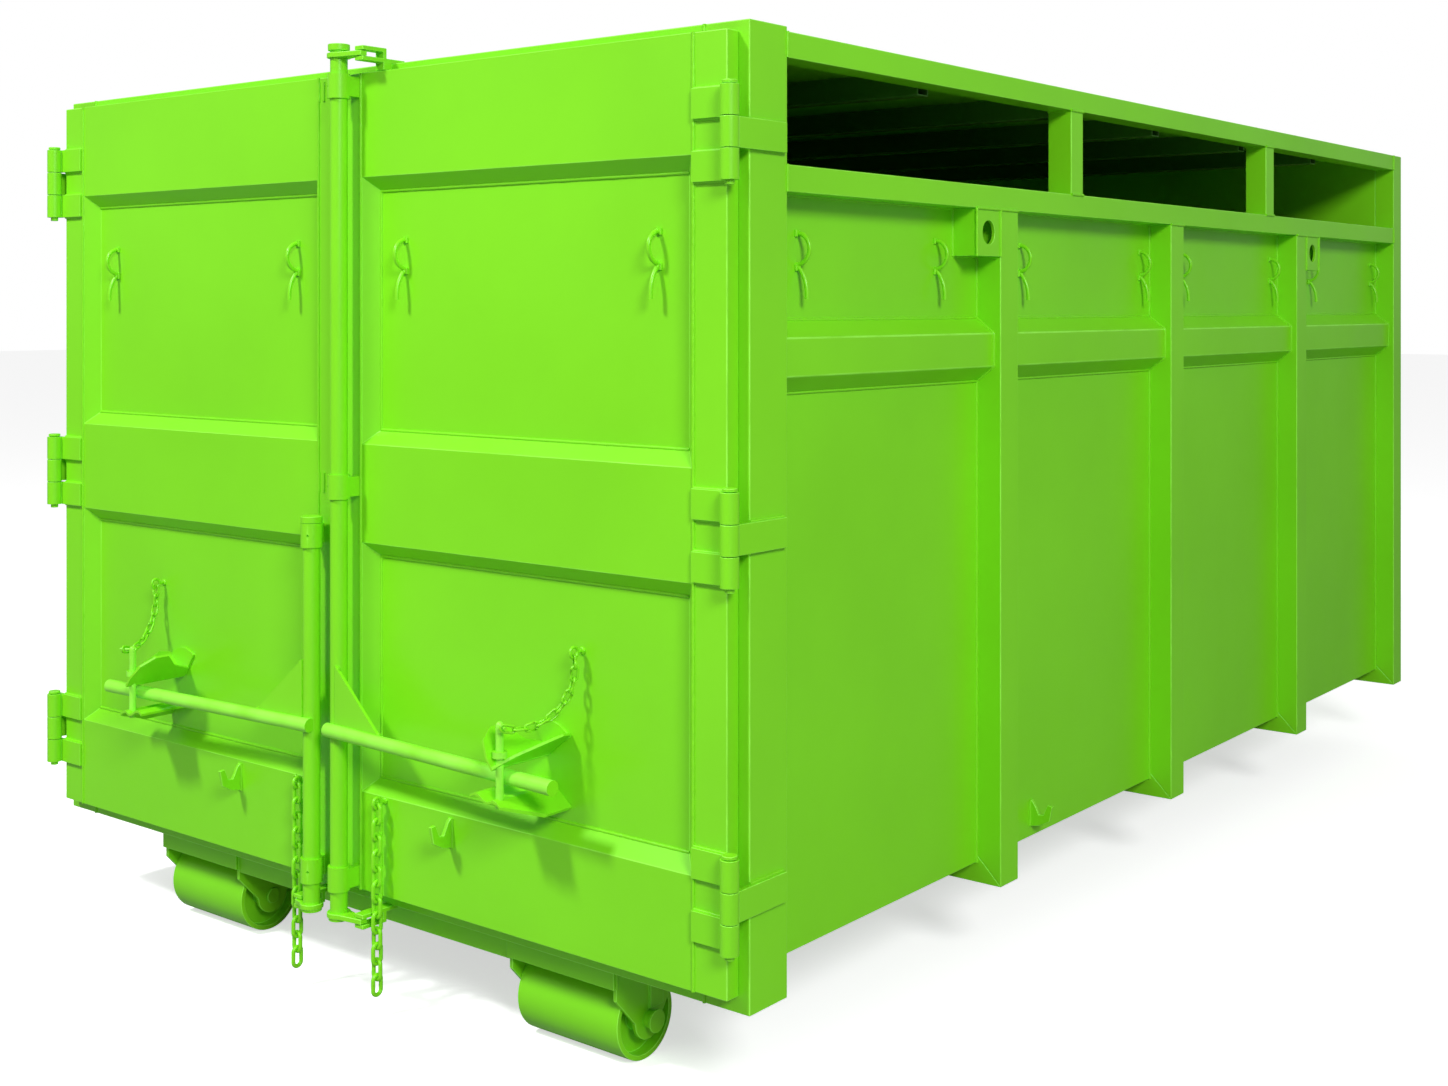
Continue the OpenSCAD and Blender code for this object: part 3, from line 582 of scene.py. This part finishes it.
def under_seams():
    """Seams of the roller brackets, rails and front beams, on the +X side."""
    seams = []
    a, b = islands("roller_brackets")[-1]
    seams += across(a.x, b.x, a.y, b.z - SUNK)
    for x in (a.x, b.x - STOP_T):
        seams += upright(x, a.y + GUARD_T, b.z - GUARD_H, b.z)
    rail = islands("main_rails")[-1]
    for c, d in islands("cross_members"):
        for y in (c.y, d.y):
            seams += across(rail[0].x, rail[1].x, y, rail[1].z)
    for c, d in islands("front_wall_beams"):
        seams += across(0, d.x, c.y, c.z) + across(0, d.x, c.y, d.z)
    cheek = islands("hook_cheeks")[-1]
    for x in (cheek[0].x, cheek[1].x):
        seams += upright(x, cheek[0].y, cheek[0].z, cheek[1].z)
    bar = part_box("hook_bar")
    middle, reach = (bar[0] + bar[1]) / 2, (bar[1].z - bar[0].z) / 2
    weld = (cheek[0].x + HOOK_CHEEK_T, middle.y, middle.z)
    return seams + ring(weld, reach, axis=0, steps=16)


def door_seams():
    """Seams of the right door."""
    low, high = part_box("right_door_panel")
    face = low.y
    stiles = islands("right_door_stiles")
    edge_x = stiles[-1][1].x
    recess = islands("right_door_tarp_hooks")[0][1].y
    seams = upright(low.x, face, low.z, high.z) + upright(high.x, face, low.z, high.z)
    for low_z, high_z in recess_heights():
        for z in (low_z, high_z):
            seams += across(low.x + RECESS_SIDE, high.x - RECESS_SIDE, recess, z)
        seams += upright(low.x + RECESS_SIDE, recess, low_z, high_z)
    for a, b in islands("right_hinge_leaves"):
        seams += across(a.x, edge_x, face, a.z) + across(a.x, edge_x, face, b.z)
    for a, b in islands("right_rod_sleeves"):
        for inward in SLEEVE_BLOCK:
            seams += upright(b.x - inward, face, a.z + SLEEVE_INSET, b.z - SLEEVE_INSET)
    for a, b in islands("right_door_tarp_hooks"):
        middle = (a.x + b.x) / 2
        for z in (b.z - HOOK_WELDS[0], b.z - HOOK_WELDS[1]):
            for x in (middle - HOOK_HALF, middle + HOOK_HALF):
                seams += upright(x, recess - 2 * SUNK, z - HOOK_BELOW, z + HOOK_ABOVE)
    a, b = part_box("right_chain_hook")
    seams += upright(a.x, face, a.z, b.z) + upright(b.x, face, a.z, b.z)
    for a, b in islands("right_chain_eyes"):
        root = ((a.x + b.x) / 2, b.y - SUNK, (a.z + b.z) / 2)
        seams += ring(root, EYE_WELD, axis=1, steps=10)
    return seams


def recess_heights():
    """Lower and upper edge of each door recess's flat floor."""
    low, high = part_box("right_door_panel")
    first, second, third = (low.z + height for height in DOOR_BANDS)
    return [(first + RECESS_SLOPE, second - RECESS_SLOPE),
            (third + RECESS_SLOPE, high.z - TOP_BAND - RECESS_SLOPE)]


def lock_seams():
    """Seams of the right handle: gusset to rod and gusset to bar."""
    rod_low, rod_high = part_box("right_lock_rod")
    low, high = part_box("right_handle")
    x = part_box("right_rod_sleeves")[0].x + ROD_SIDE
    y = (rod_low.y + rod_high.y) / 2 - GUSSET_Y
    bar_top = low.z + BAR_D
    seams = upright(x, y, bar_top, high.z - GUSSET_TIP)
    return seams + line((x, y, bar_top), (x + GUSSET_L, y - GUSSET_SLANT, bar_top))


# ---------------------------------------------------------------- operators


def steel_parts(*bodies):
    """Gives the CAD nodes of some bodies rounded edges and their paint."""
    steel = bpy.context.scene.container_steel
    for body in bodies:
        for node in BODIES[body]:
            mesh = merged_mesh(node)
            if not node.endswith(WIRE_NODES):
                width = steel.fold if node.endswith(FOLDED_NODES) else steel.edge
                mesh = rounded(node, mesh, width, steel.segments)
            mesh.materials.clear()
            mesh.materials.append(paint_for(SLOT_OF[node]))
            mesh.name = node + "_mesh"
            if node.endswith("pin_chain"):
                bent_chain(node, mesh)
            else:
                new_object(node + "_steel", mesh, body, (node,))


def bent_chain(node, mesh):
    """A pin chain, added as a fixed piece with its transform baked; it rides on no body."""
    piece = bpy.data.objects.new(node + "_steel", mesh)
    bpy.context.scene.collection.objects.link(piece)
    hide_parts(node)
    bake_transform(piece)


class CONTAINER_OT_body(bpy.types.Operator):
    """Adds the box, its frame and everything fixed to it"""

    bl_idname = "container.body"
    bl_label = "Body"

    def execute(self, context):
        steel_parts("container")
        return {"FINISHED"}


class CONTAINER_OT_doors(bpy.types.Operator):
    """Adds the two doors and their fittings"""

    bl_idname = "container.doors"
    bl_label = "Doors"

    def execute(self, context):
        steel_parts("right_door", "left_door")
        return {"FINISHED"}


class CONTAINER_OT_lock_bars(bpy.types.Operator):
    """Adds the lock rods with their handles"""

    bl_idname = "container.lock_bars"
    bl_label = "Lock bars"

    def execute(self, context):
        steel_parts("right_lock_bar", "left_lock_bar")
        return {"FINISHED"}


class CONTAINER_OT_pins(bpy.types.Operator):
    """Adds the safety pins and the chains that hold them"""

    bl_idname = "container.pins"
    bl_label = "Safety pins"

    def execute(self, context):
        steel_parts("right_pin", "left_pin")
        return {"FINISHED"}


class CONTAINER_OT_chains(bpy.types.Operator):
    """Adds the hanging door chains"""

    bl_idname = "container.chains"
    bl_label = "Door chains"

    def execute(self, context):
        steel_parts("right_chain", "left_chain")
        return {"FINISHED"}


class CONTAINER_OT_rollers(bpy.types.Operator):
    """Adds the ground rollers"""

    bl_idname = "container.rollers"
    bl_label = "Rollers"

    def execute(self, context):
        steel_parts("right_wheel", "left_wheel")
        return {"FINISHED"}


class CONTAINER_OT_welds(bpy.types.Operator):
    """Lays weld beads along the seams"""

    bl_idname = "container.welds"
    bl_label = "Weld beads"

    def execute(self, context):
        for name, side in SIDES.items():
            weld_piece(name + "_wall_welds", mirrored(wall_seams(name, side), side),
                       "container", "paint_body")
            weld_piece(name + "_frame_welds", mirrored(frame_seams() + under_seams(), side),
                       "container", "paint_body")
            weld_piece(name + "_door_welds", mirrored(door_seams(), side), name + "_door",
                       "paint_doors")
            weld_piece(name + "_handle_welds", mirrored(lock_seams(), side),
                       name + "_lock_bar", "paint_locks")
        weld_piece("window_welds", window_seams(), "container", "paint_body")
        return {"FINISHED"}


def area_light(name, place, target, size, power):
    """A square lamp at a place that shines at a target."""
    data = bpy.data.lights.new(name, "AREA")
    data.size = size
    data.energy = power
    lamp = bpy.data.objects.new(name, data)
    lamp.location = place
    lamp.rotation_euler = (Vector(target) - Vector(place)).to_track_quat("-Z", "Y").to_euler()
    bpy.context.scene.collection.objects.link(lamp)


class CONTAINER_OT_stage(bpy.types.Operator):
    """Sets the camera, the floor, the lamps and the sky"""

    bl_idname = "container.stage"
    bl_label = "Stage"

    def execute(self, context):
        settings = context.scene.container_stage
        data = bpy.data.cameras.new("Camera")
        data.lens = settings.lens
        data.shift_y = -settings.drop
        data.clip_end = 200
        camera = bpy.data.objects.new("Camera", data)
        camera.location = settings.place
        camera.rotation_euler = (math.pi / 2, 0, settings.heading)
        context.scene.collection.objects.link(camera)
        context.scene.camera = camera
        for name, facts in LAMPS.items():
            area_light(name, *facts)
        self.floor(context)
        self.sky(context)
        return {"FINISHED"}

    def floor(self, context):
        """A white paper floor that looks bright to the camera but bounces little light."""
        half = FLOOR_HALF
        mesh = bpy.data.meshes.new("floor_mesh")
        mesh.from_pydata([(-half, -half, 0), (half, -half, 0), (half, half, 0), (-half, half, 0)],
                         [], [(0, 1, 2, 3)])
        floor = bpy.data.objects.new("floor", mesh)
        context.scene.collection.objects.link(floor)
        material = bpy.data.materials.new("floor_paper")
        material.use_nodes = True
        nodes, link = material.node_tree.nodes, material.node_tree.links.new
        shader = nodes["Principled BSDF"]
        shader.inputs["Roughness"].default_value = 0.9
        paper = nodes.new("ShaderNodeMix")
        paper.data_type = "RGBA"
        seen = nodes.new("ShaderNodeLightPath").outputs["Is Camera Ray"]
        link(seen, paper.inputs["Factor"])
        glow = nodes.new("ShaderNodeMath")
        glow.operation = "MULTIPLY"
        glow.inputs[1].default_value = FLOOR_GLOW
        link(seen, glow.inputs[0])
        link(glow.outputs["Value"], shader.inputs["Emission Strength"])
        shader.inputs["Emission Color"].default_value = (1, 1, 1, 1)
        paper.inputs["A"].default_value = FLOOR_BOUNCED
        paper.inputs["B"].default_value = FLOOR_SEEN
        link(paper.outputs["Result"], shader.inputs["Base Color"])
        mesh.materials.append(material)

    def sky(self, context):
        """Soft light, strongest from behind the camera, in front of a plain white backdrop."""
        settings = context.scene.container_stage
        world = bpy.data.worlds.new("Studio")
        world.use_nodes = True
        nodes, link = world.node_tree.nodes, world.node_tree.links.new
        background = nodes["Background"]
        aim = nodes.new("ShaderNodeSeparateXYZ")
        link(nodes.new("ShaderNodeTexCoord").outputs["Generated"], aim.inputs["Vector"])
        spread = nodes.new("ShaderNodeMapRange")
        spread.interpolation_type = "SMOOTHSTEP"
        for label, value in (("From Min", -1), ("From Max", 0.6), ("To Min", settings.front),
                             ("To Max", settings.back)):
            spread.inputs[label].default_value = value
        link(aim.outputs["Y"], spread.inputs["Value"])
        seen = nodes.new("ShaderNodeMix")
        link(nodes.new("ShaderNodeLightPath").outputs["Is Camera Ray"], seen.inputs["Factor"])
        link(spread.outputs["Result"], seen.inputs["A"])
        seen.inputs["B"].default_value = 1.0
        link(seen.outputs["Result"], background.inputs["Strength"])
        background.inputs["Color"].default_value = (1, 1, 1, 1)
        context.scene.world = world
        context.scene.view_settings.view_transform = "Standard"


class CONTAINER_PT_panel(bpy.types.Panel):
    """Lists the container's operators and settings"""

    bl_label = "Container"
    bl_idname = "CONTAINER_PT_panel"
    bl_space_type = "VIEW_3D"
    bl_region_type = "UI"
    bl_category = "Container"

    def draw(self, context):
        for kind in OPERATORS:
            self.layout.operator(kind.bl_idname)
        for group in ("paint", "steel", "weld", "stage"):
            settings = getattr(context.scene, "container_" + group)
            for name in settings.__annotations__:
                self.layout.prop(settings, name)


GROUPS = {"container_paint": PaintSettings, "container_steel": SteelSettings,
          "container_weld": WeldSettings, "container_stage": StageSettings}
OPERATORS = (CONTAINER_OT_stage, CONTAINER_OT_body, CONTAINER_OT_doors, CONTAINER_OT_lock_bars,
             CONTAINER_OT_pins, CONTAINER_OT_chains, CONTAINER_OT_rollers, CONTAINER_OT_welds)
CLASSES = (*GROUPS.values(), *OPERATORS, CONTAINER_PT_panel)


def register():
    for kind in CLASSES:
        bpy.utils.register_class(kind)
    for name, group in GROUPS.items():
        setattr(bpy.types.Scene, name, PointerProperty(type=group))


def unregister():
    for name in GROUPS:
        delattr(bpy.types.Scene, name)
    for kind in reversed(CLASSES):
        bpy.utils.unregister_class(kind)


def main():
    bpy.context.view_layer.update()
    register()
    bpy.ops.container.stage()
    bpy.ops.container.body()
    bpy.ops.container.doors()
    bpy.ops.container.lock_bars()
    bpy.ops.container.pins()
    bpy.ops.container.chains()
    bpy.ops.container.rollers()
    bpy.ops.container.welds()


if __name__ == "__main__":
    main()
